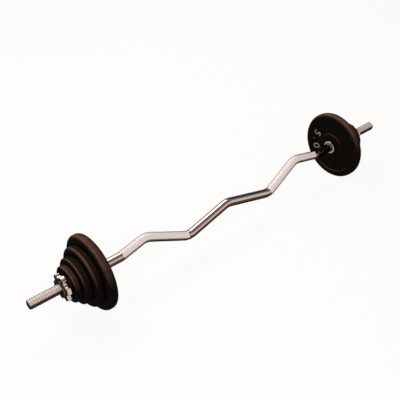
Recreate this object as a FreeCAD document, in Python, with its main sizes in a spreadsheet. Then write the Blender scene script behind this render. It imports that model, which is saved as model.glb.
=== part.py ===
"""Curl bar with a zigzag grip, threaded sleeves, cast-iron plates and star lock nuts.

X runs along the bar, Z is up and the origin lies on the floor under the middle of the bar, which
rests on its two largest plates. Lengths are in millimetres and angles in degrees.
"""
import FreeCAD, Part
import math
import os

import Sketcher

SIZES = {
    # Bar, bent cold from one round rod
    "bar_length": 1200,
    "bar_diameter": 25,
    "sleeve_length": 183,
    "end_chamfer": 2,
    # Grip from the middle outwards: each run between two corners of the zigzag is a share of the
    # length from the middle of the bar to the sleeve, and slopes to the bar's axis by its angle
    "bend_radius": 50,
    "centre_share": 0.355,
    "centre_angle": 12.5,
    "inner_grip_share": 0.3165,
    "inner_grip_angle": 23.5,
    "outer_grip_share": 0.1965,
    "outer_grip_angle": 11.5,
    # Lean of the plane of the bends from upright, as the bar lies in its plates
    "bend_lean": 24.6,
    # Inner collar that stops the plates
    "collar_diameter": 38,
    "collar_width": 9,
    "collar_round": 2.5,
    # Fits of the pieces on the sleeve and along it
    "plate_clearance": 0.8,
    "thread_clearance": 0.1,
    "ring_clearance": 0.5,
    "stack_gap": 0.2,
    # Shape that all the castings share
    "bore_chamfer": 1,
    "recess_wall_run": 3,
    "casting_round": 0.8,
    # Plates, from the collar outwards
    "large_diameter": 200,
    "large_thickness": 24.5,
    "large_hub_diameter": 74,
    "large_rim_width": 19,
    "large_recess_depth": 1.6,
    "large_rim_round": 9.5,
    "medium_diameter": 158,
    "medium_thickness": 21.2,
    "medium_hub_diameter": 66,
    "medium_rim_width": 14,
    "medium_recess_depth": 2.6,
    "medium_rim_round": 7.9,
    "small_diameter": 121,
    "small_thickness": 19.6,
    "small_hub_diameter": 60,
    "small_rim_width": 12,
    "small_recess_depth": 4,
    "small_rim_round": 5.1,
    "mini_diameter": 95,
    "mini_thickness": 16.4,
    "mini_hub_diameter": 42,
    "mini_rim_width": 7,
    "mini_recess_depth": 4.2,
    "mini_rim_round": 4.6,
    # Rubber ring that the nut presses on the outermost plate
    "ring_diameter": 42,
    "ring_thickness": 6.5,
    "ring_seat_depth": 2.5,
    "ring_round": 0.8,
    # Star nut: scallops cut its round rim into lobes
    "nut_diameter": 70,
    "nut_thickness": 11.5,
    "lobe_count": 6,
    "lobe_phase": 16.6,
    "lobe_corner_round": 3,
    "scallop_radius": 9,
    "scallop_reach": 36.5,
    "nut_edge_round": 2,
    "nut_hub_diameter": 40,
    "nut_hub_height": 2.5,
    "nut_hub_chamfer": 1,
}

PLATES = ("large", "medium", "small", "mini")
SIDES = {"left": -1, "right": 1}

BAR_RADIUS = "Sizes.bar_diameter / 2"
AXIS_HEIGHT = "Sizes.large_diameter / 2"
SLEEVE_START = "(Sizes.bar_length / 2 - Sizes.sleeve_length)"

# Sketcher's numbers for the ends and centre of a piece of an outline, and for the axes and origin
START, END, CENTRE = range(1, 4)
H_AXIS, V_AXIS = range(-1, -3, -1)
ORIGIN_POINT = (H_AXIS, START)

# The round of a plate's rim takes at most this share of the plate's thickness
FULLEST_ROUND = 0.48

POSITION_TOLERANCE = 1e-4


def driving_sheet(doc):
    """Write every driving dimension to a cell of its own, with its name as the cell's alias."""
    sheet = doc.addObject("Spreadsheet::Sheet", "Sizes")
    for row, (name, value) in enumerate(SIZES.items(), start=1):
        sheet.set(f"A{row}", name)
        sheet.set(f"B{row}", str(value))
        sheet.setAlias(f"B{row}", name)
    doc.recompute()
    return sheet


def new_body(doc, label):
    """Start a sub-part whose label is also the name of its file."""
    body = doc.addObject("PartDesign::Body", label)
    body.Label = label
    return body


def new_sketch(body, name, role, offset=None):
    """Start a sketch on an origin plane of its body, moved along the plane's normal by an offset."""
    sketch = body.newObject("Sketcher::SketchObject", name)
    planes = [part for part in body.Origin.OriginFeatures if part.Role == role]
    sketch.AttachmentSupport = [(planes[0], "")]
    sketch.MapMode = "FlatFace"
    if offset:
        sketch.setExpression("AttachmentOffset.Base.z", offset)
    return sketch


def number(sketch, expression):
    """Value of an expression as a plain number."""
    return float(sketch.evalExpression(expression))


def bind(sketch, kind, places, expression):
    """Add a dimension to a sketch and tie its value to an expression."""
    value = number(sketch, expression)
    if kind == "Angle":
        index = sketch.addConstraint(Sketcher.Constraint(kind, *places, math.radians(value)))
    else:
        index = sketch.addConstraint(Sketcher.Constraint(kind, *places, value))
    sketch.setExpression(f"Constraints[{index}]", expression)


def place_point(sketch, point, across, up):
    """Hold a point of a sketch at a place given by two expressions, or on the axis for a zero."""
    for kind, axis, expression in (("DistanceX", V_AXIS, across), ("DistanceY", H_AXIS, up)):
        if expression == "0":
            sketch.addConstraint(Sketcher.Constraint("PointOnObject", *point, axis))
        else:
            bind(sketch, kind, (*ORIGIN_POINT, *point), expression)


def closed_outline(body, name, corners):
    """Draw a half section in the XY plane, with X along the bar's axis and Y as the radius."""
    sketch = new_sketch(body, name, "XY_Plane")
    points = [FreeCAD.Vector(number(sketch, x), number(sketch, y), 0) for x, y in corners]
    count = len(points)
    for index, point in enumerate(points):
        sketch.addGeometry(Part.LineSegment(point, points[(index + 1) % count]))
    for index, corner in enumerate(corners):
        following = (index + 1) % count
        sketch.addConstraint(Sketcher.Constraint("Coincident", index, END, following, START))
        place_point(sketch, (index, START), *corner)
    return sketch


def circle(body, name, radius, offset=None):
    """Draw a circle about the bar's axis, square to it."""
    sketch = new_sketch(body, name, "YZ_Plane", offset)
    ring = Part.Circle(FreeCAD.Vector(), FreeCAD.Vector(0, 0, 1), number(sketch, radius))
    index = sketch.addGeometry(ring)
    sketch.addConstraint(Sketcher.Constraint("Coincident", index, CENTRE, *ORIGIN_POINT))
    bind(sketch, "Radius", (index,), radius)
    return sketch


def revolve(body, name, sketch):
    """Turn a half section once round the bar's axis."""
    feature = body.newObject("PartDesign::Revolution", name)
    feature.Profile = sketch
    feature.ReferenceAxis = (sketch, ["H_Axis"])
    feature.Angle = 360
    body.Document.recompute()
    return feature


def pad(body, name, sketch, length):
    """Raise a sketch along the bar's axis."""
    feature = body.newObject("PartDesign::Pad", name)
    feature.Profile = sketch
    feature.setExpression("Length", length)
    body.Document.recompute()
    return feature


def bore(body, name, sketch, depth=None):
    """Cut a circle outwards along the bar's axis, to a depth or right through."""
    before = body.Shape.Volume
    feature = body.newObject("PartDesign::Pocket", name)
    feature.Profile = sketch
    feature.Reversed = True
    if depth:
        feature.setExpression("Length", depth)
    else:
        feature.Type = "ThroughAll"
    body.Document.recompute()
    if body.Shape.Volume >= before:
        raise RuntimeError(f"{name} of {body.Label} removes nothing")
    return feature


def round_edges(body, name, base, wanted, radius):
    """Round the edges of a feature that a test picks out."""
    feature = body.newObject("PartDesign::Fillet", name)
    feature.Base = (base, picked_edges(base, wanted))
    feature.setExpression("Radius", radius)
    body.Document.recompute()
    return feature


def chamfer_edges(body, name, base, wanted, size):
    """Break the edges of a feature that a test picks out."""
    feature = body.newObject("PartDesign::Chamfer", name)
    feature.Base = (base, picked_edges(base, wanted))
    feature.setExpression("Size", size)
    body.Document.recompute()
    return feature


def picked_edges(base, wanted):
    """Names of the edges of a feature that pass a test."""
    names = [f"Edge{index}" for index, edge in enumerate(base.Shape.Edges, start=1) if wanted(edge)]
    if not names:
        raise RuntimeError(f"{base.Label} has no such edge")
    return names


def near(one, other):
    """Whether two lengths are the same place."""
    return abs(one - other) < POSITION_TOLERANCE


def hoops(*radii):
    """Test for circles of these radii about the bar's axis."""

    def wanted(edge):
        if not isinstance(edge.Curve, Part.Circle):
            return False
        middle = edge.Curve.Center
        on_axis = near(middle.y, 0) and near(middle.z, 0)
        return on_axis and any(near(edge.Curve.Radius, radius) for radius in radii)

    return wanted


def set_on_bar(body, side, station):
    """Stand a sub-part on the bar's axis at a station, with its own X pointing outwards."""
    turn = 180 if side < 0 else 0
    body.Placement = FreeCAD.Placement(FreeCAD.Vector(), FreeCAD.Rotation(FreeCAD.Vector(0, 0, 1), turn))
    body.setExpression("Placement.Base.x", f"{side} * ({station})")
    body.setExpression("Placement.Base.z", AXIS_HEIGHT)


def grip_path(body):
    """Draw the centre line of half the grip, from the sleeve to the middle of the bar.

    Four straight runs are joined by arcs of the bend radius. Each run between two corners of the
    zigzag loses the tangent lengths of the arcs at its ends.
    """
    sketch = new_sketch(body, "GripPath", "XY_Plane")
    radius = "Sizes.bend_radius"
    slopes = ["Sizes.outer_grip_angle", "-Sizes.inner_grip_angle", "Sizes.centre_angle"]
    shares = ["Sizes.outer_grip_share", "Sizes.inner_grip_share", "Sizes.centre_share"]
    runs = [f"{share} * {SLEEVE_START}" for share in shares]
    turns = [
        "Sizes.outer_grip_angle",
        "(Sizes.outer_grip_angle + Sizes.inner_grip_angle)",
        "(Sizes.inner_grip_angle + Sizes.centre_angle)",
        "(2 * Sizes.centre_angle)",
    ]
    tangents = [f"{radius} * tan({turn} / 2)" for turn in turns]
    corner_x = " + ".join(f"{run} * cos({slope})" for run, slope in zip(runs, slopes))
    straights = [
        f"{run} - {tangents[index]} - {tangents[index + 1]}" for index, run in enumerate(runs)
    ]

    bend = number(sketch, radius)
    here = FreeCAD.Vector(number(sketch, SLEEVE_START), 0, 0)
    corner = FreeCAD.Vector(number(sketch, f"{corner_x} + {tangents[0]}"), 0, 0)
    sketch.addGeometry(Part.LineSegment(here, corner))
    here = corner
    heading = 180.0
    for index, slope in enumerate(slopes):
        before = heading
        heading = 180.0 - number(sketch, slope)
        here = add_bend(sketch, here, before, heading, bend)
        reach = number(sketch, straights[index])
        ahead = here + reach * direction(heading)
        sketch.addGeometry(Part.LineSegment(here, ahead))
        here = ahead
    add_bend(sketch, here, heading, 180.0, bend)

    last = len(sketch.Geometry) - 1
    for index in range(last):
        ends = (index, leaving_end(sketch, index), index + 1, arriving_end(sketch, index + 1))
        sketch.addConstraint(Sketcher.Constraint("Tangent", *ends))
    for index in range(1, last + 1, 2):
        bind(sketch, "Radius", (index,), radius)
    for index, straight in enumerate(straights):
        bind(sketch, "Distance", (2 * index + 2,), straight)
        bind(sketch, "Angle", (2 * index + 2,), f"180 - {slopes[index]}")
    sketch.addConstraint(Sketcher.Constraint("PointOnObject", 0, END, H_AXIS))
    place_point(sketch, (0, START), SLEEVE_START, "0")
    sketch.addConstraint(Sketcher.Constraint("PointOnObject", last, CENTRE, V_AXIS))
    sketch.addConstraint(Sketcher.Constraint("PointOnObject", last, leaving_end(sketch, last), V_AXIS))
    return sketch


def direction(heading):
    """Unit vector in the sketch plane at an angle from X."""
    angle = math.radians(heading)
    return FreeCAD.Vector(math.cos(angle), math.sin(angle), 0)


def add_bend(sketch, start, before, after, radius):
    """Add the arc that turns a path from one heading to another, and return where it ends."""
    side = 1 if after > before else -1
    centre = start + radius * direction(before + 90 * side)
    end = centre - radius * direction(after + 90 * side)
    low, high = (start, end) if side > 0 else (end, start)
    angles = [math.atan2(point.y - centre.y, point.x - centre.x) for point in (low, high)]
    hoop = Part.Circle(centre, FreeCAD.Vector(0, 0, 1), radius)
    sketch.addGeometry(Part.ArcOfCircle(hoop, *angles))
    return end


def arriving_end(sketch, index):
    """Which end of a piece of a path comes first along it: an arc always runs anticlockwise."""
    piece = sketch.Geometry[index]
    if isinstance(piece, Part.LineSegment):
        return START
    return START if piece.StartPoint.x > piece.EndPoint.x else END


def leaving_end(sketch, index):
    """Which end of a piece of a path comes last along it."""
    return END if arriving_end(sketch, index) == START else START


def build_bar(doc):
    """Zigzag rod with a plain chamfered sleeve at each end, half of it mirrored about the middle."""
    body = new_body(doc, "bar")
    path = grip_path(body)
    profile = circle(body, "RodSection", BAR_RADIUS, SLEEVE_START)
    doc.recompute()
    grip = body.newObject("PartDesign::AdditivePipe", "Grip")
    grip.Profile = profile
    grip.Spine = path
    doc.recompute()
    expected = profile.Shape.Edges[0].Curve.Radius ** 2 * math.pi * path.Shape.Length
    if abs(grip.Shape.Volume / expected - 1) > 1e-3:
        raise RuntimeError("the grip doesn't follow its path")
    end = "Sizes.bar_length / 2"
    sleeve_section = closed_outline(
        body,
        "SleeveSection",
        [
            (SLEEVE_START, "0"),
            (end, "0"),
            (end, f"{BAR_RADIUS} - Sizes.end_chamfer"),
            (f"{end} - Sizes.end_chamfer", BAR_RADIUS),
            (SLEEVE_START, BAR_RADIUS),
        ],
    )
    sleeve = revolve(body, "Sleeve", sleeve_section)
    whole = body.newObject("PartDesign::Mirrored", "WholeBar")
    whole.Originals = [grip, sleeve]
    middle = [part for part in body.Origin.OriginFeatures if part.Role == "YZ_Plane"]
    whole.MirrorPlane = (middle[0], [""])
    body.Tip = whole
    body.Placement = FreeCAD.Placement(FreeCAD.Vector(), FreeCAD.Rotation(FreeCAD.Vector(1, 0, 0), 90))
    body.setExpression("Placement.Rotation.Angle", "90 - Sizes.bend_lean")
    body.setExpression("Placement.Base.z", AXIS_HEIGHT)
    doc.recompute()
    return body


def build_collar(doc, side_name, side):
    """Ring pressed on the bar at the inner end of the sleeve, which stops the plates."""
    body = new_body(doc, f"inner_collar_{side_name}")
    outer = "Sizes.collar_diameter / 2"
    section = closed_outline(
        body,
        "CollarSection",
        [
            ("-Sizes.collar_width", BAR_RADIUS),
            ("0", BAR_RADIUS),
            ("0", outer),
            ("-Sizes.collar_width", outer),
        ],
    )
    ring = revolve(body, "Ring", section)
    round_edges(body, "EdgeRound", ring, hoops(number(section, outer)), "Sizes.collar_round")
    set_on_bar(body, side, SLEEVE_START)
    return body


def stack_station(count):
    """Where the inner face of the next piece lies once this many plates are on the sleeve."""
    filled = [f"Sizes.{plate}_thickness + Sizes.stack_gap" for plate in PLATES[:count]]
    return " + ".join([SLEEVE_START, "Sizes.stack_gap", *filled])


def build_plate(doc, side_name, side, count):
    """Cast plate with a thick rim and hub, a shallow recess on each face and a rounded edge."""
    plate = PLATES[count]
    body = new_body(doc, f"plate_{plate}_{side_name}")
    thick = f"Sizes.{plate}_thickness"
    edge = f"Sizes.{plate}_diameter / 2"
    hub = f"Sizes.{plate}_hub_diameter / 2"
    rim = f"{edge} - Sizes.{plate}_rim_width"
    depth = f"Sizes.{plate}_recess_depth"
    hole = f"{BAR_RADIUS} + Sizes.plate_clearance"
    hub_foot = f"{hub} + Sizes.recess_wall_run"
    rim_foot = f"{rim} - Sizes.recess_wall_run"
    mouth = f"{hole} + Sizes.bore_chamfer"
    section = closed_outline(
        body,
        "PlateSection",
        [
            ("Sizes.bore_chamfer", hole),
            ("0", mouth),
            ("0", hub),
            (depth, hub_foot),
            (depth, rim_foot),
            ("0", rim),
            ("0", edge),
            (thick, edge),
            (thick, rim),
            (f"{thick} - {depth}", rim_foot),
            (f"{thick} - {depth}", hub_foot),
            (thick, hub),
            (thick, mouth),
            (f"{thick} - Sizes.bore_chamfer", hole),
        ],
    )
    disc = revolve(body, "Disc", section)
    rim_round = f"min(Sizes.{plate}_rim_round; {FULLEST_ROUND} * {thick})"
    rounded = round_edges(body, "RimRound", disc, hoops(number(section, edge)), rim_round)
    steps = [number(section, radius) for radius in (hub, hub_foot, rim_foot, rim)]
    round_edges(body, "CastingRound", rounded, hoops(*steps), "Sizes.casting_round")
    set_on_bar(body, side, stack_station(count))
    return body


def build_ring(doc, side_name, side):
    """Rubber ring between the outermost plate and the nut."""
    body = new_body(doc, f"rubber_ring_{side_name}")
    inner = f"{BAR_RADIUS} + Sizes.ring_clearance"
    outer = "Sizes.ring_diameter / 2"
    section = closed_outline(
        body,
        "RingSection",
        [
            ("0", inner),
            ("Sizes.ring_thickness", inner),
            ("Sizes.ring_thickness", outer),
            ("0", outer),
        ],
    )
    ring = revolve(body, "Ring", section)
    round_edges(body, "EdgeRound", ring, hoops(number(section, outer)), "Sizes.ring_round")
    set_on_bar(body, side, stack_station(len(PLATES)))
    return body


def star_outline(body):
    """Draw the nut's star: a round rim cut into lobes by scallops halfway between them."""
    sketch = new_sketch(body, "Star", "YZ_Plane")
    lobes = int(number(sketch, "Sizes.lobe_count"))
    step = 360 / lobes
    phase = number(sketch, "Sizes.lobe_phase")
    rim = number(sketch, "Sizes.nut_diameter / 2")
    reach = number(sketch, "Sizes.scallop_reach")
    dip = number(sketch, "Sizes.scallop_radius")
    half_gap = math.degrees(math.acos((rim**2 + reach**2 - dip**2) / (2 * rim * reach)))
    half_lobe = step / 2 - half_gap

    normal = FreeCAD.Vector(0, 0, 1)
    for index in range(lobes):
        at = phase + step * index
        spread = [math.radians(at + half_lobe * way) for way in (-1, 1)]
        sketch.addGeometry(Part.ArcOfCircle(Part.Circle(FreeCAD.Vector(), normal, rim), *spread))
        middle = reach * direction(at + step / 2)
        corners = [rim * direction(at + step / 2 + half_gap * way) for way in (1, -1)]
        spread = [math.atan2((to - middle).y, (to - middle).x) for to in corners]
        sketch.addGeometry(Part.ArcOfCircle(Part.Circle(middle, normal, dip), *spread))
    pieces = 2 * lobes
    for index in range(0, pieces, 2):
        turn = f"Sizes.lobe_phase + {index + 1} * 180 / Sizes.lobe_count"
        across, up = (f"Sizes.scallop_reach * {wave}({turn})" for wave in ("cos", "sin"))
        sketch.addConstraint(Sketcher.Constraint("Coincident", index, CENTRE, *ORIGIN_POINT))
        bind(sketch, "Radius", (index,), "Sizes.nut_diameter / 2")
        place_point(sketch, (index + 1, CENTRE), across, up)
        bind(sketch, "Radius", (index + 1,), "Sizes.scallop_radius")
        following = (index + 2) % pieces
        sketch.addConstraint(Sketcher.Constraint("Coincident", index, END, index + 1, END))
        sketch.addConstraint(Sketcher.Constraint("Coincident", index + 1, START, following, START))
    return sketch


def build_nut(doc, side_name, side):
    """Star nut with a low hub outside and a seat for the rubber ring inside."""
    body = new_body(doc, f"star_nut_{side_name}")
    star_sketch = star_outline(body)
    star = pad(body, "Lobes", star_sketch, "Sizes.nut_thickness")

    def along_axis(edge):
        return near(edge.BoundBox.YLength, 0) and near(edge.BoundBox.ZLength, 0)

    def across_axis(edge):
        return near(edge.BoundBox.XLength, 0)

    lobes = round_edges(body, "CornerRound", star, along_axis, "Sizes.lobe_corner_round")
    round_edges(body, "EdgeRound", lobes, across_axis, "Sizes.nut_edge_round")
    hub_radius = "Sizes.nut_hub_diameter / 2"
    hub_sketch = circle(body, "HubSection", hub_radius, "Sizes.nut_thickness")
    hub = pad(body, "Hub", hub_sketch, "Sizes.nut_hub_height")
    top = number(hub_sketch, "Sizes.nut_thickness + Sizes.nut_hub_height")
    on_top = hoops(number(hub_sketch, hub_radius))
    chamfer_edges(
        body,
        "HubChamfer",
        hub,
        lambda edge: on_top(edge) and near(edge.BoundBox.XMin, top),
        "Sizes.nut_hub_chamfer",
    )
    seat = circle(body, "SeatSection", "Sizes.ring_diameter / 2 + Sizes.ring_clearance")
    bore(body, "RingSeat", seat, "Sizes.ring_seat_depth")
    thread = circle(body, "ThreadSection", f"{BAR_RADIUS} + Sizes.thread_clearance")
    bore(body, "ThreadBore", thread)
    ring_back = f"{stack_station(len(PLATES))} + Sizes.ring_thickness"
    set_on_bar(body, side, f"{ring_back} - Sizes.ring_seat_depth")
    return body


def check(doc, bodies):
    """Stop before anything is written if a feature failed or a solid is unsound."""
    failed = [item.Label for item in doc.Objects if {"Invalid", "Error"} & set(item.State)]
    if failed:
        raise RuntimeError(f"these failed to compute: {failed}")
    for body in bodies:
        shape = body.Shape
        if shape.isNull() or not shape.isValid() or len(shape.Solids) != 1:
            raise RuntimeError(f"{body.Label} isn't one sound solid")


def main():
    """Build every sub-part and write each to its own file."""
    doc = FreeCAD.newDocument("CurlBar")
    driving_sheet(doc)
    bodies = [build_bar(doc)]
    for side_name, side in SIDES.items():
        bodies.append(build_collar(doc, side_name, side))
        for count in range(len(PLATES)):
            bodies.append(build_plate(doc, side_name, side, count))
        bodies.append(build_ring(doc, side_name, side))
        bodies.append(build_nut(doc, side_name, side))
    doc.recompute()
    check(doc, bodies)
    os.makedirs("parts", exist_ok=True)
    for body in bodies:
        body.Shape.exportStep(f"parts/{body.Label}.step")
        print(f"{body.Label}: {body.Shape.Volume / 1000:.1f} cm3")


main()
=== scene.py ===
"""Curl bar with cast-iron plates and star lock nuts, dressed and lit for a studio picture.

X runs along the bar, Z is up and the floor lies at zero. Sizes in the classes are in millimetres
and angles in degrees, as on a maker's drawing, and meshes are in metres.
"""
import logging
from dataclasses import dataclass
from enum import Enum
from typing import Any, Sequence

import bpy
import numpy as np
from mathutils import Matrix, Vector


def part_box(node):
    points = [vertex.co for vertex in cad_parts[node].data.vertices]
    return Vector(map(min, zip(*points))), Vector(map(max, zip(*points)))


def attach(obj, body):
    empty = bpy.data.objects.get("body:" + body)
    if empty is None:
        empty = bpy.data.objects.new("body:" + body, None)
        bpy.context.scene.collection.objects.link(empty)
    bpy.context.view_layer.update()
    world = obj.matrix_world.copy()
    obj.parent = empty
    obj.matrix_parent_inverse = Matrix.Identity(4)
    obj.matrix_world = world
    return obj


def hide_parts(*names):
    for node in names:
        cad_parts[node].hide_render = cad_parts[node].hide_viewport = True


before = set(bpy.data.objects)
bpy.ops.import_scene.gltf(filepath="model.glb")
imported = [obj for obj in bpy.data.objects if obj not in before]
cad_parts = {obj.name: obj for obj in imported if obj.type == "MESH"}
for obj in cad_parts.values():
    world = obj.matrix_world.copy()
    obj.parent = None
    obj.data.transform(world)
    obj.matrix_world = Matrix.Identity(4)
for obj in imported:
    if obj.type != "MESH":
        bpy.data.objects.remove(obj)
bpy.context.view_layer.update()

LOG = logging.getLogger("curl_bar")
MM = 0.001
TURN = 2 * np.pi
Place = tuple[float, float, float]
Socket = bpy.types.NodeSocket


def linear(code: str) -> tuple[float, float, float, float]:
    """Turn an sRGB hex colour into linear light.

    Args:
        code: Colour such as "#c8b4a0".

    Returns:
        Red, green, blue and alpha from 0 to 1.
    """
    levels = np.array([int(code[at : at + 2], 16) for at in (1, 3, 5)]) / 255
    curve = np.where(levels <= 0.04045, levels / 12.92, ((levels + 0.055) / 1.055) ** 2.4)
    return (*curve.tolist(), 1.0)


def add_node(
    tree: bpy.types.NodeTree, kind: str, sockets: dict[Any, Any] | None = None, **traits: Any
) -> bpy.types.Node:
    """Add a node to a tree with its settings and links.

    Args:
        tree: Tree that gets the node.
        kind: Blender's name for the type of node.
        sockets: A value, or an output to link, for each input by its name or number.
        traits: Settings of the node itself, such as its data type.

    Returns:
        The new node.
    """
    made = tree.nodes.new(kind)
    for name, value in traits.items():
        setattr(made, name, value)
    for key, value in (sockets or {}).items():
        if isinstance(value, Socket):
            tree.links.new(value, made.inputs[key])
        else:
            made.inputs[key].default_value = value
    return made


@dataclass(frozen=True)
class Nodes:
    """Node tree, with the patterns that the finishes and the room share."""

    tree: bpy.types.NodeTree

    def out(
        self, kind: str, output: Any, sockets: dict[Any, Any] | None = None, **traits: Any
    ) -> Socket:
        """Add a node, as add_node does, and give one of its outputs by its name or number."""
        return add_node(self.tree, kind, sockets, **traits).outputs[output]

    def place(self) -> Socket:
        """Place of a point on the part, in metres."""
        return self.out("ShaderNodeTexCoord", "Object")

    def value(self, name: str) -> Socket:
        """Value of this name that the mesh keeps for each point."""
        return self.out("ShaderNodeAttribute", "Fac", attribute_name=name)

    def noise(self, size: float, detail: float, place: Socket | None = None) -> Socket:
        """Draw a soft noise through the piece.

        Args:
            size: Width of its grains in millimetres.
            detail: Number of finer layers in it.
            place: Where it is read, if not at the point's own place.

        Returns:
            Its height from 0 to 1.
        """
        at = self.place() if place is None else place
        sockets = {"Vector": at, "Scale": 1 / (size * MM), "Detail": detail}
        return self.out("ShaderNodeTexNoise", "Fac", sockets)

    def ramp(
        self,
        value: Socket,
        start: float = 0,
        end: float = 1,
        low: Socket | float = 0,
        high: float = 1,
        soft: bool = False,
    ) -> Socket:
        """Carry a value from one range to another.

        Args:
            value: Value to carry.
            start: Value that gives the low end.
            end: Value that gives the high end.
            low: Result at the start and beyond.
            high: Result at the end and beyond.
            soft: Whether the slope eases in and out.

        Returns:
            The result.
        """
        sockets = {"From Min": start, "From Max": end, "To Min": low, "To Max": high}
        sockets["Value"] = value
        easing = "SMOOTHSTEP" if soft else "LINEAR"
        return self.out("ShaderNodeMapRange", "Result", sockets, interpolation_type=easing)

    def blend(self, share: Socket, first: Socket | str, second: str) -> Socket:
        """Mix two colours.

        Args:
            share: Share of the second colour.
            first: A colour, as an output or a hex code.
            second: Hex code of the other.

        Returns:
            The mixed colour.
        """
        under = linear(first) if isinstance(first, str) else first
        sockets = {0: share, 6: under, 7: linear(second)}
        return self.out("ShaderNodeMix", 2, sockets, data_type="RGBA")

    def math(self, operation: str, first: Socket, second: Socket | float) -> Socket:
        """Reckon with two numbers, by Blender's name for the operation."""
        return self.out("ShaderNodeMath", 0, {0: first, 1: second}, operation=operation)

    def bump(self, height: Socket, depth: float, under: Socket | None = None) -> Socket:
        """Raise a pattern on the surface.

        Args:
            height: Height of the pattern from 0 to 1.
            depth: Its depth in millimetres.
            under: Bump that it lies on.

        Returns:
            The way that the bumped surface faces.
        """
        sockets = {"Height": height, "Strength": 1.0, "Distance": depth * MM}
        if under is not None:
            sockets["Normal"] = under
        return self.out("ShaderNodeBump", "Normal", sockets)

    def surface(self, sockets: dict[str, Any]) -> Socket:
        """Shader of a surface with these values of its sockets."""
        return self.out("ShaderNodeBsdfPrincipled", "BSDF", sockets)


@dataclass(frozen=True)
class Finish:
    """Surface finish that a piece is dressed in."""

    name: str
    slot: str

    def material(self) -> bpy.types.Material:
        """Make the finish as a material, or give the one that exists.

        Returns:
            The material, named for the finish.
        """
        made = bpy.data.materials.get(self.name)
        if made is None:
            made = bpy.data.materials.new(self.name)
            made.use_nodes = True
            made.node_tree.nodes.clear()
            shader = self.shader(Nodes(made.node_tree))
            add_node(made.node_tree, "ShaderNodeOutputMaterial", {"Surface": shader})
        return made

    def shader(self, nodes: Nodes) -> Socket:
        """Draw the finish in the empty tree of its material and give the last shader's output."""
        raise NotImplementedError


@dataclass(frozen=True)
class PolishedChrome(Finish):
    """Bright chromium plate on a drawn and polished steel rod.

    It mirrors the room in long bands along the bar. Hand smears dull it in patches, a painted shade
    darkens the underside to a dark olive, and the drawing and buffing leave faint lines along the
    rod that break up the edges of the bands. The dark edge tint is painted shade along its edges.
    """

    name: str = "polished_chromium_plate"
    slot: str = "chromed_steel"
    colour: str = "#cfc4bd"
    # Colour of the painted shade that darkens the underside.
    underside_shade_colour: str = "#4a4236"
    # Dark edge tint, painted shade along the edges.
    edge_colour: str = "#4a3a33"
    roughness: float = 0.08
    smeared_roughness: float = 0.17
    underside_shade_from: float = 0.52
    underside_shade_to: float = 0.3
    smear_size: float = 26
    smear_from: float = 0.42
    smear_to: float = 0.68
    # Real buffing lines, about 0.1 mm wide, are too fine to show and are drawn coarser.
    line_width: float = 1.6
    line_stretch: float = 20
    line_depth: float = 0.004

    def shader(self, nodes: Nodes) -> Socket:
        """Draw smears as a soft noise, the painted shade of the underside from the way up and the
        lines as a long bump.

        Args:
            nodes: Empty tree of the material.

        Returns:
            The output of the metal's shader.
        """
        smear = nodes.noise(self.smear_size, 4)
        # Painted shade: darker towards the underside, where the skin faces down.
        underside_shade = nodes.ramp(nodes.value("upward"), self.underside_shade_from, self.underside_shade_to, soft=True)
        stretch = {"Vector": nodes.place(), "Scale": (1 / self.line_stretch, 1, 1)}
        lines = nodes.noise(self.line_width, 2, nodes.out("ShaderNodeMapping", 0, stretch))
        dulled = (self.roughness, self.smeared_roughness)
        return nodes.surface(
            {
                "Base Color": nodes.blend(underside_shade, self.colour, self.underside_shade_colour),
                "Metallic": 1.0,
                "Roughness": nodes.ramp(smear, self.smear_from, self.smear_to, *dulled),
                "Specular Tint": linear(self.edge_colour),
                "Normal": nodes.bump(lines, self.line_depth),
            }
        )


@dataclass(frozen=True)
class RelievedChrome(Finish):
    """Chromium plate over a cut relief, as on a knurled grip or a rolled thread.

    The plate shines softly on the crests, where hands and nuts rub it. Pale chalk and dust fill the
    grooves and scatter the light, so that the relief looks matt and even from a step away, and a
    painted shade darkens the underside. The dark edge tint is painted shade along the edges. At a
    slant the crests hide the grooves, so that the edges gloss like the plain plate. The point value
    named relief runs from 0 in a groove to 1 on a crest.
    """

    name: str = "knurled_chromium_plate"
    slot: str = "chromed_steel"
    crest_colour: str = "#ece5e2"
    groove_colour: str = "#e3d9d5"
    # Colour of the painted shade that darkens the underside.
    underside_shade_colour: str = "#3a322d"
    # Dark edge tint, painted shade along the edges.
    edge_colour: str = "#40322c"
    crest_metal: float = 0.52
    groove_metal: float = 0.22
    crest_roughness: float = 0.42
    groove_roughness: float = 0.7
    underside_shade_from: float = 0.34
    underside_shade_to: float = -0.12
    grime_size: float = 18
    grime_from: float = 0.3
    grime_to: float = 0.7
    grimy_share: float = 0.35
    slant_from: float = 0.35
    slant_to: float = 0.65
    slant_roughness: float = 0.12

    def shader(self, nodes: Nodes) -> Socket:
        """Draw crests, grooves, patches of grime, the painted shade below and the gloss at a slant.

        Args:
            nodes: Empty tree of the material.

        Returns:
            The output of the metal's shader.
        """
        grime = nodes.noise(self.grime_size, 5)
        lift = nodes.ramp(grime, self.grime_from, self.grime_to, self.grimy_share)
        bright = nodes.math("MULTIPLY", nodes.value("relief"), lift)
        plate = nodes.blend(bright, self.groove_colour, self.crest_colour)
        # Painted shade: darker towards the underside, where the skin faces down.
        underside_shade = nodes.ramp(nodes.value("upward"), self.underside_shade_from, self.underside_shade_to, soft=True)
        facing = nodes.out("ShaderNodeLayerWeight", "Facing", {"Blend": 0.5})
        slant = nodes.ramp(facing, self.slant_from, self.slant_to, soft=True)
        metal = nodes.ramp(bright, low=self.groove_metal, high=self.crest_metal)
        rough = nodes.ramp(bright, low=self.groove_roughness, high=self.crest_roughness)
        return nodes.surface(
            {
                "Base Color": nodes.blend(underside_shade, plate, self.underside_shade_colour),
                "Metallic": nodes.math("MAXIMUM", metal, slant),
                "Roughness": nodes.ramp(slant, low=rough, high=self.slant_roughness),
                "Specular Tint": linear(self.edge_colour),
            }
        )


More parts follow.
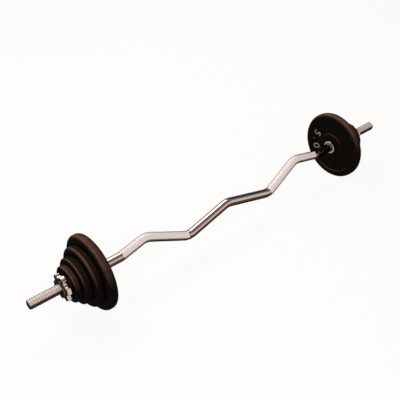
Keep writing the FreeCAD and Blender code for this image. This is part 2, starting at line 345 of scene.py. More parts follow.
@dataclass(frozen=True)
class ChromedCasting(Finish):
    """Thin chromium plate on a cast and tumbled iron piece, such as the nuts.

    Tumbling leaves the surface slightly wavy under the plate, so that reflections wobble. The sides
    of the lobes are painted bright and the faces between them dull and olive, a painted highlight
    and a painted reflection, and the dark edge tint is painted shade along the edges.
    The point value named relief runs from 0 on a face to 1 where the sides are painted brightest.
    """

    name: str = "chromium_plate_on_tumbled_casting"
    slot: str = "chromed_iron"
    # Dull dark olive of the faces, a painted reflection.
    colour: str = "#5f5748"
    # Bright colour of the sides, a painted highlight.
    pale_highlight_colour: str = "#cdbfb4"
    # Dark edge tint, painted shade along the edges.
    edge_colour: str = "#5c4e42"
    roughness: float = 0.32
    pale_highlight_roughness: float = 0.16
    wave_size: float = 3.5
    wave_depth: float = 0.03

    def shader(self, nodes: Nodes) -> Socket:
        """Draw the waves as a soft bump and the bright painted highlight on the sides from the
        relief.

        Args:
            nodes: Empty tree of the material.

        Returns:
            The output of the metal's shader.
        """
        # Painted highlight and reflection: dark olive on the faces, bright where the relief marks
        # sides.
        pale_highlight = nodes.value("relief")
        return nodes.surface(
            {
                "Base Color": nodes.blend(pale_highlight, self.colour, self.pale_highlight_colour),
                "Metallic": 1.0,
                "Roughness": nodes.ramp(pale_highlight, low=self.roughness, high=self.pale_highlight_roughness),
                "Specular Tint": linear(self.edge_colour),
                "Normal": nodes.bump(nodes.noise(self.wave_size, 2), self.wave_depth),
            }
        )


@dataclass(frozen=True)
class BlackEnamel(Finish):
    """Black enamel brushed over sand-cast iron.

    The paint has gone dead matt, and the sand's grain shows through it as a fine pebbled surface.
    A brown painted highlight lies on what faces up, strongest on the crown of the rims and on the
    slopes of the recesses. The point value named relief says how strongly the painted highlight
    shows, from 0 on a flat face to 1 where it is strongest.
    """

    name: str = "black_enamel_on_sand_cast_iron"
    slot: str = "black_cast_iron"
    colour: str = "#0f0c0a"
    # Colour of the brown painted highlight.
    painted_highlight_colour: str = "#644a3e"
    roughness: float = 0.48
    painted_highlight_roughness: float = 0.62
    painted_highlight_from: float = 0.12
    painted_highlight_to: float = 1.0
    # Real moulding sand, about 0.3 mm, is too fine to show and is drawn coarser.
    grain_size: float = 1.5
    grain_depth: float = 0.1
    patch_size: float = 22
    patch_depth: float = 0.3
    patch_from: float = 0.3
    patch_to: float = 0.7
    # Share of the painted highlight that is left where its patches are faintest.
    faintest_share: float = 0.6
    specular: float = 0.001

    def shader(self, nodes: Nodes) -> Socket:
        """Draw the sand grain and the casting's unevenness as bumps, and the painted highlight from
        the way up.

        Args:
            nodes: Empty tree of the material.

        Returns:
            The output of the paint's shader.
        """
        patch = nodes.noise(self.patch_size, 5)
        # Painted highlight: brown where the skin faces up, patchy and scaled by the relief; thick
        # and dust carry it.
        facing_up = nodes.ramp(nodes.value("upward"), self.painted_highlight_from, self.painted_highlight_to, soft=True)
        thick = nodes.ramp(patch, self.patch_from, self.patch_to, self.faintest_share)
        dust = nodes.math("MULTIPLY", facing_up, thick)
        dust = nodes.math("MULTIPLY", dust, nodes.value("relief"))
        uneven = nodes.bump(patch, self.patch_depth)
        return nodes.surface(
            {
                "Base Color": nodes.blend(dust, self.colour, self.painted_highlight_colour),
                "Roughness": nodes.ramp(dust, low=self.roughness, high=self.painted_highlight_roughness),
                "Specular IOR Level": self.specular,
                "Normal": nodes.bump(nodes.noise(self.grain_size, 3), self.grain_depth, uneven),
            }
        )


@dataclass(frozen=True)
class FigurePaint(Finish):
    """Light grey paint rolled over cast figures.

    The roller reaches only the tops of the figures, and chips let the black enamel show through.
    The point value named relief runs from 0 at the foot of a figure to 1 on its top.
    """

    name: str = "rolled_grey_paint_on_cast_figures"
    slot: str = "black_cast_iron"
    colour: str = "#84776f"
    bare_colour: str = "#171110"
    roughness: float = 0.5
    chip_size: float = 2.5
    chip_depth: float = 0.1
    paint_from: float = 0.8
    paint_to: float = 1.1

    def shader(self, nodes: Nodes) -> Socket:
        """Draw the paint where the relief is high, broken by a noise of chips.

        Args:
            nodes: Empty tree of the material.

        Returns:
            The output of the paint's shader.
        """
        chips = nodes.noise(self.chip_size, 4)
        reach = nodes.math("ADD", nodes.value("relief"), chips)
        painted = nodes.ramp(reach, self.paint_from, self.paint_to)
        return nodes.surface(
            {
                "Base Color": nodes.blend(painted, self.bare_colour, self.colour),
                "Roughness": self.roughness,
                "Normal": nodes.bump(chips, self.chip_depth),
            }
        )


@dataclass(frozen=True)
class MouldedRubber(Finish):
    """Black rubber from a matt mould.

    It is dull, and slightly grey and uneven where bloom has come to the surface.
    """

    name: str = "moulded_black_rubber"
    slot: str = "black_rubber"
    colour: str = "#17161a"
    bloom_colour: str = "#2c2a2a"
    roughness: float = 0.78
    bloom_size: float = 6
    bloom_depth: float = 0.06

    def shader(self, nodes: Nodes) -> Socket:
        """Draw the bloom as a soft noise, in colour and as a slight bump.

        Args:
            nodes: Empty tree of the material.

        Returns:
            The output of the rubber's shader.
        """
        bloom = nodes.noise(self.bloom_size, 6)
        return nodes.surface(
            {
                "Base Color": nodes.blend(bloom, self.colour, self.bloom_colour),
                "Roughness": self.roughness,
                "Normal": nodes.bump(bloom, self.bloom_depth),
            }
        )


@dataclass(frozen=True)
class FloorPaper(Finish):
    """Roll of white studio paper.

    The camera and mirroring surfaces see it white, and it keeps the soft shadow of what stands on
    it.
    """

    name: str = "white_studio_paper"
    slot: str = ""
    colour: str = "#d9d5d1"
    whiteness: float = 0.92

    def shader(self, nodes: Nodes) -> Socket:
        """Mix the lit paper with plain white for camera, mirror and glass rays.

        Args:
            nodes: Empty tree of the material.

        Returns:
            The output of the mixed shader.
        """
        rays = add_node(nodes.tree, "ShaderNodeLightPath").outputs
        seen = nodes.math("MAXIMUM", rays["Is Camera Ray"], rays["Is Glossy Ray"])
        seen = nodes.math("MAXIMUM", seen, rays["Is Transmission Ray"])
        share = nodes.math("MULTIPLY", seen, self.whiteness)
        lit = nodes.out("ShaderNodeBsdfDiffuse", 0, {"Color": linear(self.colour)})
        white = nodes.out("ShaderNodeEmission", 0, {"Color": (1, 1, 1, 1), "Strength": 1.0})
        return nodes.out("ShaderNodeMixShader", 0, {0: share, 1: lit, 2: white})


@dataclass
class Shell:
    """Closed skin of a piece while it is worked out.

    Attributes:
        points: Places of the points in metres, a row for each.
        faces: Arrays of point numbers, a row for each face and a column for each corner.
        relief: A value from 0 to 1 for each point, which the finishes read.
    """

    points: np.ndarray
    faces: list[np.ndarray]
    relief: np.ndarray

    def volume(self) -> float:
        """Add up the boxes that the corners of each face's fan of triangles span, over six.

        Returns:
            The volume, below zero where the faces point inwards.
        """
        total = 0.0
        for faces in self.faces:
            first = self.points[faces[:, 0]]
            for corner in range(1, faces.shape[1] - 1):
                second = self.points[faces[:, corner]]
                third = self.points[faces[:, corner + 1]]
                total += float(np.einsum("ij,ij->", first, np.cross(second, third))) / 6
        return total

    def outward(self) -> "Shell":
        """Turn the faces outwards.

        Returns:
            The same skin, with its faces turned round if they pointed inwards.
        """
        if self.volume() < 0:
            return Shell(self.points, [faces[:, ::-1] for faces in self.faces], self.relief)
        return self

    def mesh(self, name: str) -> bpy.types.Mesh:
        """Put the skin into a smoothly shaded mesh.

        Args:
            name: Name of the mesh.

        Returns:
            The mesh, with two values of its points: the relief, and upward, which runs from -1
            where the skin faces down to 1 where it faces up as the bar lies.
        """
        made = bpy.data.meshes.new(name)
        corners = np.concatenate([faces.ravel() for faces in self.faces])
        counts = np.concatenate([np.full(len(faces), faces.shape[1]) for faces in self.faces])
        made.vertices.add(len(self.points))
        made.vertices.foreach_set("co", self.points.ravel())
        made.loops.add(len(corners))
        made.loops.foreach_set("vertex_index", corners)
        made.polygons.add(len(counts))
        made.polygons.foreach_set("loop_start", np.cumsum(counts) - counts)
        made.update(calc_edges=True)
        made.validate()
        facing = np.empty(self.points.shape)
        made.vertices.foreach_get("normal", facing.ravel())
        for label, values in (("relief", self.relief), ("upward", facing[:, 2].copy())):
            kept = made.attributes.new(label, "FLOAT", "POINT")
            kept.data.foreach_set("value", values.ravel())
        made.shade_smooth()
        return made


def circle(count: int) -> np.ndarray:
    """Angles of points spread evenly round a circle."""
    return np.linspace(0, TURN, count, endpoint=False)


def joined(shells: Sequence[Shell]) -> Shell:
    """Lay several skins into one.

    Args:
        shells: Skins to join.

    Returns:
        One skin that holds all of them.
    """
    starts = np.cumsum([0] + [len(shell.points) for shell in shells])
    faces = [part + start for shell, start in zip(shells, starts) for part in shell.faces]
    points = np.concatenate([shell.points for shell in shells])
    return Shell(points, faces, np.concatenate([shell.relief for shell in shells]))


def skin(rings: np.ndarray, relief: np.ndarray, endless: bool, diamonds: bool = False) -> Shell:
    """Stretch a skin over rings of points.

    Each point of a ring is joined to the next point round the ring and to the same point of the
    next ring. An endless skin joins its last ring to its first, and another is closed at each end
    by a fan of triangles to the ring's middle. With diamonds, each four-sided cell is cut from low
    corner to low corner, so that every raised point becomes the tip of a pyramid of triangles.

    Args:
        rings: Places of the points, by ring, by point and by axis.
        relief: A value for each point of each ring.
        endless: Whether the rings close on themselves.
        diamonds: Whether points of even number, ring and place added, are tips of pyramids.

    Returns:
        The closed skin.
    """
    count, around = rings.shape[:2]
    ring = np.arange(count if endless else count - 1)[:, None]
    place = np.arange(around)[None, :]
    ahead = (ring + 1) % count * around
    beside = (place + 1) % around
    here = ring * around
    cells = [here + place, here + beside, ahead + beside, ahead + place]
    points = rings.reshape(-1, 3)
    values = relief.reshape(-1)
    if diamonds:
        one, two, three, four = cells
        tips = (ring + place) % 2 == 0
        halves = [
            np.stack([one, two, np.where(tips, four, three)], axis=-1),
            np.stack([np.where(tips, two, one), three, four], axis=-1),
        ]
        faces = [half.reshape(-1, 3) for half in halves]
    else:
        faces = [np.stack(cells, axis=-1).reshape(-1, 4)]
    if not endless:
        first = len(points)
        row = np.arange(around)
        after = (row + 1) % around
        last = (count - 1) * around
        faces.append(np.stack([np.full(around, first), after, row], axis=-1))
        faces.append(np.stack([np.full(around, first + 1), last + row, last + after], axis=-1))
        points = np.concatenate([points, rings[[0, -1]].mean(axis=1)])
        values = np.concatenate([values, relief[[0, -1]].mean(axis=1)])
    return Shell(points, faces, values).outward()


def rounded(
    corners: np.ndarray,
    radii: np.ndarray,
    steps: int = 7,
    hold: float = 0.4,
    hold_share: float = 0.3,
) -> tuple[np.ndarray, np.ndarray]:
    """Round the corners of a closed outline.

    An arc of the corner's radius touches both edges at the radius over the tangent of half the
    corner's angle from it. A point just beyond each end of the arc holds the flats flat.

    Args:
        corners: Corners in order, anticlockwise, two columns.
        radii: Radius of each corner.
        steps: Points along each arc.
        hold: Longest distance of the holding points from the arcs.
        hold_share: The same as a share of the flat between two arcs.

    Returns:
        The points of the outline, and 1 for each point on a corner that stands out, 0 elsewhere.
    """
    back = np.roll(corners, 1, axis=0) - corners
    on = np.roll(corners, -1, axis=0) - corners
    length_on = np.linalg.norm(on, axis=1)
    back /= np.linalg.norm(back, axis=1)[:, None]
    on /= length_on[:, None]
    half = np.arccos(np.clip((back * on).sum(axis=1), -1, 1)) / 2
    touch = radii / np.tan(half)
    gap_on = np.minimum(hold, hold_share * (length_on - touch - np.roll(touch, -1)))
    gap_back = np.roll(gap_on, 1)
    middle = back + on
    middle *= (radii / np.sin(half) / np.linalg.norm(middle, axis=1))[:, None]
    start = (back * touch[:, None] - middle)[:, None, :]
    end = (on * touch[:, None] - middle)[:, None, :]
    sweep = (np.pi - 2 * half)[:, None]
    share = np.linspace(0, 1, steps)[None, :]
    from_start = (np.sin((1 - share) * sweep) / np.sin(sweep))[:, :, None]
    from_end = (np.sin(share * sweep) / np.sin(sweep))[:, :, None]
    arcs = (corners + middle)[:, None, :] + from_start * start + from_end * end
    before = corners + back * (touch + gap_back)[:, None]
    after = corners + on * (touch + gap_on)[:, None]
    points = np.concatenate([before[:, None, :], arcs, after[:, None, :]], axis=1)
    out = np.where(back[:, 0] * on[:, 1] - back[:, 1] * on[:, 0] < 0, 1.0, 0.0)
    point_relief = np.zeros(points.shape[:2])
    point_relief[:, 1:-1] = out[:, None]
    return points.reshape(-1, 2), point_relief.reshape(-1)


def turned(outline: np.ndarray, point_relief: np.ndarray, axis_height: float, around: int) -> Shell:
    """Turn a closed outline once round the bar's axis.

    Each point keeps its place along X and goes round at its radius, times the cosine of the angle
    across the bar and times the sine upwards.

    Args:
        outline: Distance along X and radius of each point, in metres.
        point_relief: Value of each point of the outline.
        axis_height: Height of the bar's axis in metres.
        around: Points round the axis.

    Returns:
        The skin of the ring.
    """
    angle = circle(around)[None, :]
    along = outline[:, :1] + 0 * angle
    across = outline[:, 1:] * np.cos(angle)
    height = axis_height + outline[:, 1:] * np.sin(angle)
    rings = np.stack([along, across, height], axis=-1)
    return skin(rings, point_relief[:, None] + 0 * angle, endless=True)


def lay_piece(
    name: str, shell: Shell, finish: Finish, body: str, stands_for: Sequence[str] = ()
) -> None:
    """Make a piece of a skin, dress it and let it ride on its body.

    Args:
        name: Name of the piece.
        shell: Its skin.
        finish: Its finish.
        body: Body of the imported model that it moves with.
        stands_for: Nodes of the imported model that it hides.
    """
    piece = bpy.data.objects.new(name, shell.mesh(name))
    bpy.context.scene.collection.objects.link(piece)
    piece.data.materials.append(finish.material())
    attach(piece, body)
    if stands_for:
        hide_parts(*stands_for)
    LOG.info("%s: %d points, %s, rides on %s", name, len(shell.points), finish.name, body)


class Side(Enum):
    """End of the bar, with the direction in which it points along X."""

    LEFT = -1
    RIGHT = 1

    @property
    def label(self) -> str:
        """Word for this end in the names of nodes and bodies."""
        return self.name.lower()


@dataclass(frozen=True)
class Seat:
    """Place of a round node on the bar, in metres.

    Attributes:
        start: Distance of its inner face from the middle of the bar.
        length: Distance between its faces.
        radius: Its outer radius.
        height: Height of its axis.
    """

    start: float
    length: float
    radius: float
    height: float

    @classmethod
    def of(cls, node: str) -> "Seat":
        """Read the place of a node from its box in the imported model.

        Args:
            node: Name of the node.

        Returns:
            Its place.
        """
        low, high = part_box(node)
        inner, outer = sorted((abs(low.x), abs(high.x)))
        return cls(inner, outer - inner, (high.y - low.y) / 2, (high.z + low.z) / 2)

    def ring(
        self, side: Side, bore: float, bore_round: float, edge_round: float, around: int = 96
    ) -> Shell:
        """Turn a plain ring that fills the place: a rounded rectangle carried round the axis.

        Args:
            side: End of the bar.
            bore: Diameter of its hole.
            bore_round: Round on the edges of the hole.
            edge_round: Round on the outer edges.
            around: Points round the axis.

        Returns:
            The skin of the ring.
        """
        low, high = self.start / MM, (self.start + self.length) / MM
        inner, outer = bore / 2, self.radius / MM
        corners = np.array([(low, inner), (high, inner), (high, outer), (low, outer)])
        rounds = np.array([bore_round, bore_round, edge_round, edge_round])
        outline, point_relief = rounded(corners, rounds)
        return turned(outline * MM * np.array([side.value, 1]), point_relief, self.height, around)


@dataclass
class Bar:
    """Zigzag rod with knurled grips, threaded sleeves and the collars that stop the plates.

    Places along the bar are distances from its middle, and the rod and the sleeves overlap under
    the collars.
    """

    diameter: float = 25
    half_length: float = 600
    sleeve_start: float = 417
    rod_end: float = 409
    rod_step: float = 2.5
    rod_around: int = 72
    bend_radius: float = 50
    run_shares: tuple[float, ...] = (0.355, 0.3165, 0.1965)
    run_angles: tuple[float, ...] = (-12.5, 23.5, -11.5)
    bend_lean: float = 24.6
    grip_start: float = 149
    grip_end: float = 357
    grip_lip: float = 0.3
    grip_wall: float = 0.6
    # Diamonds of 2 mm. The real ones, of about 1 mm, are too fine to show and are drawn coarser.
    knurl_count: int = 40
    knurl_depth: float = 0.24
    knurl_proud: float = 0.1
    knurl_angle: float = 30
    knurl_end_share: float = 0.3
    sleeve_root: float = 407
    thread_start: float = 424
    thread_pitch: float = 6.5
    thread_depth: float = 0.9
    thread_flank_end: float = 0.62
    thread_flank_run: float = 0.3
    thread_steps: int = 13
    thread_around: int = 72
    end_chamfer: float = 2
    collar_press: float = 0.1
    collar_bore_round: float = 0.2
    collar_round: float = 2.5
    rod_finish: Finish = PolishedChrome()
    knurl_finish: Finish = RelievedChrome()
    thread_finish: Finish = RelievedChrome(
        name="chromium_plate_on_rolled_thread",
        crest_colour="#dfd1cb",
        groove_colour="#bbada6",
        # Painted shade on the underside, darker and starting higher than on the grips.
        underside_shade_colour="#241d1a",
        crest_metal=0.45,
        groove_metal=0.25,
        crest_roughness=0.3,
        groove_roughness=0.5,
        underside_shade_from=0.58,
        underside_shade_to=0.26,
        grime_size=9,
    )
    collar_finish: Finish = ChromedCasting(
        name="chromium_plate_on_turned_collar",
        slot="chromed_steel",
        # Dark faces and bright rounded edges, a painted reflection and painted highlight, as on the
        # nuts.
        colour="#776d65",
        pale_highlight_colour="#b4a69a",
        roughness=0.3,
    )

    def build(self) -> None:
        """Make the rod, and the grip, sleeve and collar of each end."""
        lay_piece("bar_rod", self.rod(), self.rod_finish, "bar", ["bar"])
        for side in Side:
            end = side.label
            lay_piece(f"bar_grip_{end}", self.grip(side), self.knurl_finish, "bar")
            lay_piece(f"bar_sleeve_{end}", self.sleeve(side), self.thread_finish, "bar")
            node = f"inner_collar_{end}"
            collar = self.collar(side, Seat.of(node))
            lay_piece(f"bar_collar_{end}", collar, self.collar_finish, "bar", [node])

    @property
    def axis_height(self) -> float:
        """Height of the sleeves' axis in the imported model."""
        return Seat.of("inner_collar_right").height / MM

    def centre_line(self, along: np.ndarray) -> tuple[np.ndarray, np.ndarray]:
        """Follow the centre line of the grip from the middle of the bar.

        Arcs of the bend radius and straight runs take turns. On each piece the heading is the
        heading at its start plus curvature times distance, and the place is the place at its start
        plus the integral of the heading's cosine and sine, all shifted so that the sleeves lie on
        the axis.

        Args:
            along: Distances along the bar, positive to the right.

        Returns:
            The place in the plane of the bends, along and across the axis, and the heading there.
        """
        angles = np.radians([0, *self.run_angles, 0])
        turns = np.diff(angles)
        tangents = self.bend_radius * np.tan(np.abs(turns) / 2)
        # The bend in the middle belongs to both halves, and each has all of its own turn.
        tangents[0] = self.bend_radius * np.tan(abs(turns[0]))
        runs = np.array(self.run_shares) * self.sleeve_start - tangents[:-1] - tangents[1:]
        endless = 10 * self.half_length
        bends = self.bend_radius * np.abs(turns)
        lengths = np.stack([bends, [*runs, endless]], axis=-1).ravel()
        curvature = np.stack([np.sign(turns) / self.bend_radius, 0 * turns], axis=-1).ravel()
        headings = np.stack([angles[:-1], angles[1:]], axis=-1).ravel()

        def step(curve: np.ndarray, heading: np.ndarray, distance: np.ndarray) -> np.ndarray:
            """Move along arcs, or along straight lines where the curve is zero.

            Args:
                curve: Curvature of each piece.
                heading: Heading at its start.
                distance: Distance to go on it.

            Returns:
                The moves along and across the axis.
            """
            straight = curve == 0
            bend = np.where(straight, 1, curve)
            turned_to = heading + curve * distance
            ahead = np.sin(turned_to) - np.sin(heading)
            across = np.cos(heading) - np.cos(turned_to)
            on_arc = np.stack([ahead, across])
            on_line = np.stack([np.cos(heading), np.sin(heading)]) * distance
            return np.moveaxis(np.where(straight, on_line, on_arc / bend), 0, -1)

        moves = step(curvature, headings, lengths)
        places = np.concatenate([np.zeros((1, 2)), np.cumsum(moves, axis=0)[:-1]])
        places[:, 1] -= places[-1, 1]
        starts = np.cumsum(lengths) - lengths
        reach = np.abs(along)
        piece = np.searchsorted(starts, reach, side="right") - 1
        beyond = reach - starts[piece]
        place = places[piece] + step(curvature[piece], headings[piece], beyond)
        mirror = np.where(along < 0, -1.0, 1.0)
        place[..., 0] *= mirror
        return place, (headings[piece] + curvature[piece] * beyond) * mirror

    def around_line(self, along: np.ndarray, angle: np.ndarray, radius: np.ndarray) -> np.ndarray:
        """Carry circles along the centre line.

        Each circle stands square to the line, and its points lie at the radius times the cosine of
        their angle in the plane of the bends and times the sine across it.

        Args:
            along: Distance of each circle along the bar.
            angle: Angle of each point round its circle, by circle and by point.
            radius: Radius of each point, by circle and by point.

        Returns:
            The places of the points in metres, by circle, by point and by axis.
        """
        place, heading = self.centre_line(along)
        lean = np.radians(self.bend_lean)
        out = np.array([1.0, 0.0, 0.0])
        up = np.array([0.0, np.sin(lean), np.cos(lean)])
        across = np.cross(out, up)
        normal = np.cos(heading)[:, None] * up - np.sin(heading)[:, None] * out
        centre = place[:, :1] * out + place[:, 1:] * up + np.array([0, 0, self.axis_height])
        swing = (radius * np.cos(angle))[..., None] * normal[:, None, :]
        side = (radius * np.sin(angle))[..., None] * across
        return (centre[:, None, :] + swing + side) * MM

    def along_at(self, reach: float) -> float:
        """Distance along the bar to a place on the straight by the sleeve, at a reach in X."""
        place, _ = self.centre_line(np.array([self.half_length]))
        return self.half_length - float(place[0, 0]) + reach

    def rod(self) -> Shell:
        """Make the smooth rod, slightly thinner where the knurled grips cover it.

        Circles of the rod's radius, less the knurl's depth in the grips, follow the centre line.

        Returns:
            The skin of the rod from collar to collar.
        """
        end = self.along_at(self.rod_end)
        lip = self.grip_lip
        ends = [self.grip_start, self.grip_start + lip, self.grip_end - lip, self.grip_end, end]
        along = np.unique(np.concatenate([np.arange(0, end, self.rod_step), ends]))
        along = np.concatenate([-along[:0:-1], along])
        inside = (np.abs(along) > self.grip_start) & (np.abs(along) < self.grip_end)
        radius = self.diameter / 2 - np.where(inside, self.knurl_depth, 0)
        angle, radius = np.broadcast_arrays(circle(self.rod_around)[None, :], radius[:, None])
        rings = self.around_line(along, angle, radius)
        return skin(rings, np.zeros(angle.shape), endless=False)

    def grip(self, side: Side) -> Shell:
        """Make a knurled grip as a sleeve of diamond pyramids.

        Tips and valleys alternate like the fields of a chessboard: round the rod a field is half a
        diamond wide, and along it as much longer as the knurl's angle makes it. The lining under
        them has a third of the rows.

        Args:
            side: End of the bar.

        Returns:
            The skin of the grip.
        """
        around = 2 * self.knurl_count
        width = np.pi * self.diameter / around
        length = width / np.tan(np.radians(self.knurl_angle))
        rows = 2 * round((self.grip_end - self.grip_start) / length / 2) + 1
        along = np.linspace(self.grip_start, self.grip_end, rows)
        field = np.arange(rows)[:, None] + np.arange(around)[None, :]
        tips = np.where(field % 2 == 0, 1.0, 0.0)
        tips[[0, -1]] *= self.knurl_end_share
        rod = self.diameter / 2
        radius = rod + self.knurl_proud - self.knurl_depth * (1 - tips)
        lining = along[::-3]
        core = np.full((len(lining), around), rod - self.knurl_depth - self.grip_wall)
        along = np.concatenate([along, lining]) * side.value
        radius = np.concatenate([radius, core])
        angle = circle(around)[None, :] + 0 * radius
        relief = np.concatenate([tips, 0 * core])
        rings = self.around_line(along, angle, radius)
        return skin(rings, relief, endless=True, diamonds=True)

    def sleeve(self, side: Side) -> Shell:
        """Make a threaded sleeve.

        The radius falls from the crest to the root of the thread with the share of half a pitch
        that a point lies from the middle of the groove: flat at both and a soft slope between,
        fading in at the start and cut off by the cone of the end chamfer.

        Args:
            side: End of the bar.

        Returns:
            The skin of the sleeve.
        """
        cone_start = self.half_length - self.end_chamfer
        out = np.arange(self.thread_start, cone_start, self.thread_pitch / self.thread_steps)
        cone_ends = self.half_length - np.array([1, 0.5, 0]) * self.end_chamfer
        out = np.concatenate([[self.sleeve_root], out, cone_ends])
        angle = circle(self.thread_around)[None, :]
        along = side.value * out[:, None] + 0 * angle
        turn = np.mod(along / self.thread_pitch - angle / TURN, 1)
        from_groove = np.abs(2 * turn - 1)
        groove = np.clip((self.thread_flank_end - from_groove) / self.thread_flank_run, 0, 1)
        groove = groove * groove * (3 - 2 * groove)
        groove *= np.clip((out - self.thread_start) / self.thread_pitch, 0, 1)[:, None]
        rod = self.diameter / 2
        cone = rod - np.clip(out - cone_start, 0, None)[:, None]
        radius = np.minimum(rod - self.thread_depth * groove, cone)
        height = self.axis_height + radius * np.sin(angle)
        rings = np.stack([along, radius * np.cos(angle), height], axis=-1) * MM
        return skin(rings, 1 - groove, endless=False)

    def collar(self, side: Side, seat: Seat) -> Shell:
        """Pressed collar, its hole a little under the rod's size so that no gap shows."""
        bore = self.diameter - 2 * self.collar_press
        # Relief 1 on its rounded edges, which its finish paints bright as a painted highlight.
        return seat.ring(side, bore, self.collar_bore_round, self.collar_round)


@dataclass(frozen=True)
class PlateForm:
    """Section of a plate, and where its painted highlight lies on it.

    Attributes:
        hub_width: Diameter of the hub.
        rim_width: Width of the rim.
        recess: Depth of the recess between them.
        rim_round: Round on the edges of the rim.
        painted_highlight_lean: Lean of the rim along X where the painted highlight is strongest.
        painted_highlight_spread: Width of the painted highlight's bell curve about it.
    """

    hub_width: float
    rim_width: float
    recess: float
    rim_round: float
    painted_highlight_lean: float
    painted_highlight_spread: float


class PlateSize(Enum):
    """Plates from the collar outwards."""

    LARGE = PlateForm(74, 19, 1.6, 9.5, painted_highlight_lean=-0.42, painted_highlight_spread=0.54)
    MEDIUM = PlateForm(66, 14, 2.6, 7.9, painted_highlight_lean=-0.6, painted_highlight_spread=0.38)
    SMALL = PlateForm(60, 12, 4, 5.1, painted_highlight_lean=-0.6, painted_highlight_spread=0.38)
    MINI = PlateForm(42, 7, 4.2, 4.6, painted_highlight_lean=-0.5, painted_highlight_spread=0.5)

    @property
    def label(self) -> str:
        """Word for this plate in the names of nodes and bodies."""
        return self.name.lower()


@dataclass
class Plate:
    """Cast plate with a thick hub and rim, a recess on each face and a well rounded edge."""

    size: PlateSize
    side: Side
    bore_diameter: float = 26.6
    bore_chamfer: float = 1
    bore_round: float = 0.25
    recess_wall_run: float = 3
    casting_round: float = 0.8
    arc_points: int = 9
    around: int = 192
    far_share: float = 0.3
    covered_share: float = 0.35
    slope_margin: float = 1
    finish: Finish = BlackEnamel()

    def build(self) -> None:
        """Make the plate in place of its node."""
        name = f"plate_{self.size.label}_{self.side.label}"
        lay_piece(f"{name}_casting", self.casting(Seat.of(name)), self.finish, name, [name])

    def casting(self, seat: Seat) -> Shell:
        """Turn the plate's section, with a round on every edge of the casting.

        A painted highlight lies on the rim as a bell curve of how far the skin leans along X, about
        a lean to the left, and fainter about the same lean to the right. It also lies on the slopes
        of the recesses, fainter where the next plate covers most of the face.

        Args:
            seat: Place of the plate's node.

        Returns:
            The skin of the plate.
        """
        form = self.size.value
        thick, edge = seat.length / MM, seat.radius / MM
        hole = self.bore_diameter / 2
        cut = self.bore_chamfer
        hub, rim = form.hub_width / 2, edge - form.rim_width
        run, deep = self.recess_wall_run, form.recess
        floor = [(deep, hub + run), (deep, rim - run)]
        face = [(0, hole + cut), (0, hub), *floor, (0, rim), (0, edge)]
        back = [(thick - x, radius) for x, radius in face[::-1]]
        corners = np.array([(cut, hole), *face, *back, (thick - cut, hole)], float)[::-1]
        face_radii = [self.bore_round, *[self.casting_round] * 4, form.rim_round]
        radii = [self.bore_round, *face_radii, *face_radii[::-1], self.bore_round]
        outline, _ = rounded(corners, np.array(radii)[::-1], steps=self.arc_points)
        depth, radius = outline.T
        leans_out = np.clip((depth - thick) / form.rim_round + 1, 0, 1)
        lean = self.side.value * (leans_out - np.clip(1 - depth / form.rim_round, 0, 1))
        near, far = (
            np.exp(-(((lean - place) / form.painted_highlight_spread) ** 2))
            for place in (form.painted_highlight_lean, -form.painted_highlight_lean)
        )
        on_rim = np.maximum(near, self.far_share * far)
        to_face = np.minimum(depth, thick - depth)
        on_slope = (to_face > 0) & (to_face < deep) & (radius > hub - self.slope_margin)
        share = 1 if self.size is PlateSize.LARGE else self.covered_share
        # hold is the painted highlight's strength, which the finish reads as relief.
        hold = np.where(radius > rim + self.slope_margin, on_rim, share * on_slope)
        outline[:, 0] = self.side.value * (seat.start / MM + depth)
        return turned(outline * MM, hold, seat.height, self.around)


